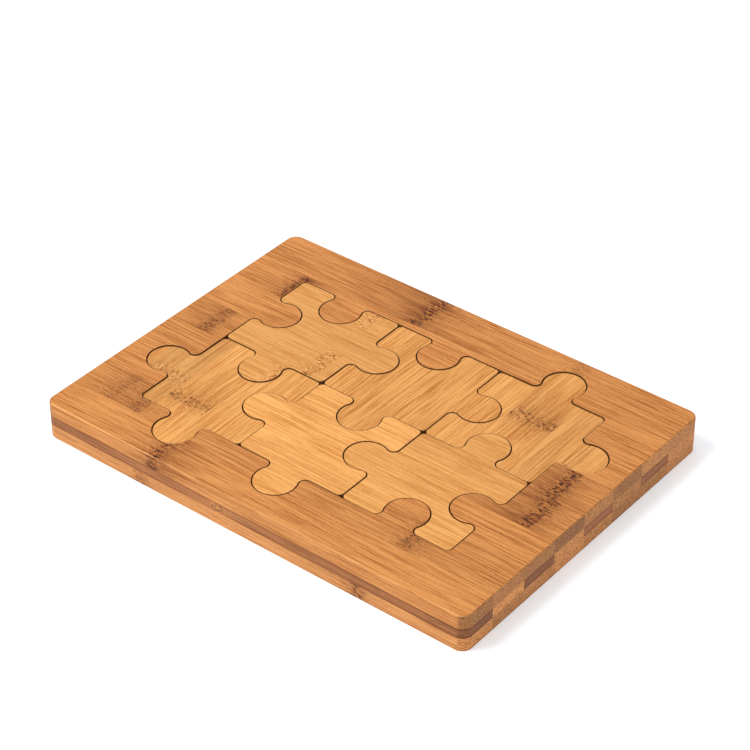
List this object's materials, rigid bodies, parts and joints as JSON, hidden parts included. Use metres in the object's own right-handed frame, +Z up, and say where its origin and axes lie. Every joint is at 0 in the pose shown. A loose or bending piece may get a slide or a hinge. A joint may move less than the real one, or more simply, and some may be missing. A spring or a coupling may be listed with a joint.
{
  "type": "tray jigsaw puzzle",
  "caption": "Laminated bamboo tray puzzle: a thick three-ply board with a pocket that holds interlocking jigsaw pieces with round knobs, flush with its face.",
  "frame": {"origin": "Middle of the underside of the board, on the surface it rests on.", "axes": "+X along the board's length and its strips, +Y across the strips, +Z up out of the pocket."},
  "size_m": [0.224, 0.166, 0.018],
  "materials": {
    "board_bamboo": "warm laminated bamboo, oiled satin",
    "carbonised_bamboo": "dark carbonised bamboo, oiled satin",
    "piece_bamboo": "honey coloured bamboo, oiled satin",
    "backing_bamboo": "honey coloured bamboo, sanded"
  },
  "bodies": {
    "tray": {"bottom_strip_1": "board_bamboo", "bottom_strip_2": "board_bamboo", "bottom_strip_3": "board_bamboo", "bottom_strip_4": "board_bamboo", "bottom_strip_5": "board_bamboo", "bottom_strip_6": "board_bamboo", "bottom_strip_7": "board_bamboo", "bottom_strip_8": "board_bamboo", "middle_strip_1": "carbonised_bamboo", "middle_strip_2": "board_bamboo", "middle_strip_3": "carbonised_bamboo", "middle_strip_4": "board_bamboo", "middle_strip_5": "carbonised_bamboo", "middle_strip_6": "board_bamboo", "middle_strip_7": "carbonised_bamboo", "middle_strip_8": "board_bamboo", "top_strip_1": "board_bamboo", "top_strip_2": "board_bamboo", "top_strip_3": "board_bamboo", "top_strip_4": "board_bamboo", "top_strip_5": "board_bamboo", "top_strip_6": "board_bamboo", "top_strip_7": "board_bamboo", "top_strip_8": "board_bamboo"},
    "piece_back_left": {"back_left_backing": "backing_bamboo", "back_left_face_1": "piece_bamboo", "back_left_face_2": "piece_bamboo", "back_left_face_3": "piece_bamboo", "back_left_face_4": "piece_bamboo"},
    "piece_back_middle": {"back_middle_backing": "backing_bamboo", "back_middle_face_1": "piece_bamboo", "back_middle_face_2": "piece_bamboo", "back_middle_face_3": "piece_bamboo", "back_middle_face_4": "piece_bamboo"},
    "piece_back_right": {"back_right_backing": "backing_bamboo", "back_right_face_1": "piece_bamboo", "back_right_face_2": "piece_bamboo", "back_right_face_3": "piece_bamboo", "back_right_face_4": "piece_bamboo"},
    "piece_front_left": {"front_left_backing": "backing_bamboo", "front_left_face_1": "piece_bamboo", "front_left_face_2": "piece_bamboo", "front_left_face_3": "piece_bamboo", "front_left_face_4": "piece_bamboo"},
    "piece_front_middle": {"front_middle_backing": "backing_bamboo", "front_middle_face_1": "piece_bamboo", "front_middle_face_2": "piece_bamboo", "front_middle_face_3": "piece_bamboo", "front_middle_face_4": "piece_bamboo"},
    "piece_front_right": {"front_right_backing": "backing_bamboo", "front_right_face_1": "piece_bamboo", "front_right_face_2": "piece_bamboo", "front_right_face_3": "piece_bamboo", "front_right_face_4": "piece_bamboo"}
  },
  "joints": [
    {"name": "lift_back_left", "type": "slide", "parent": "tray", "child": "piece_back_left", "axis": [0, 0, 1], "range_m": [0, 0.03]},
    {"name": "lift_back_middle", "type": "slide", "parent": "tray", "child": "piece_back_middle", "axis": [0, 0, 1], "range_m": [0, 0.03]},
    {"name": "lift_back_right", "type": "slide", "parent": "tray", "child": "piece_back_right", "axis": [0, 0, 1], "range_m": [0, 0.03]},
    {"name": "lift_front_left", "type": "slide", "parent": "tray", "child": "piece_front_left", "axis": [0, 0, 1], "range_m": [0, 0.03]},
    {"name": "lift_front_middle", "type": "slide", "parent": "tray", "child": "piece_front_middle", "axis": [0, 0, 1], "range_m": [0, 0.03]},
    {"name": "lift_front_right", "type": "slide", "parent": "tray", "child": "piece_front_right", "axis": [0, 0, 1], "range_m": [0, 0.03]}
  ]
}
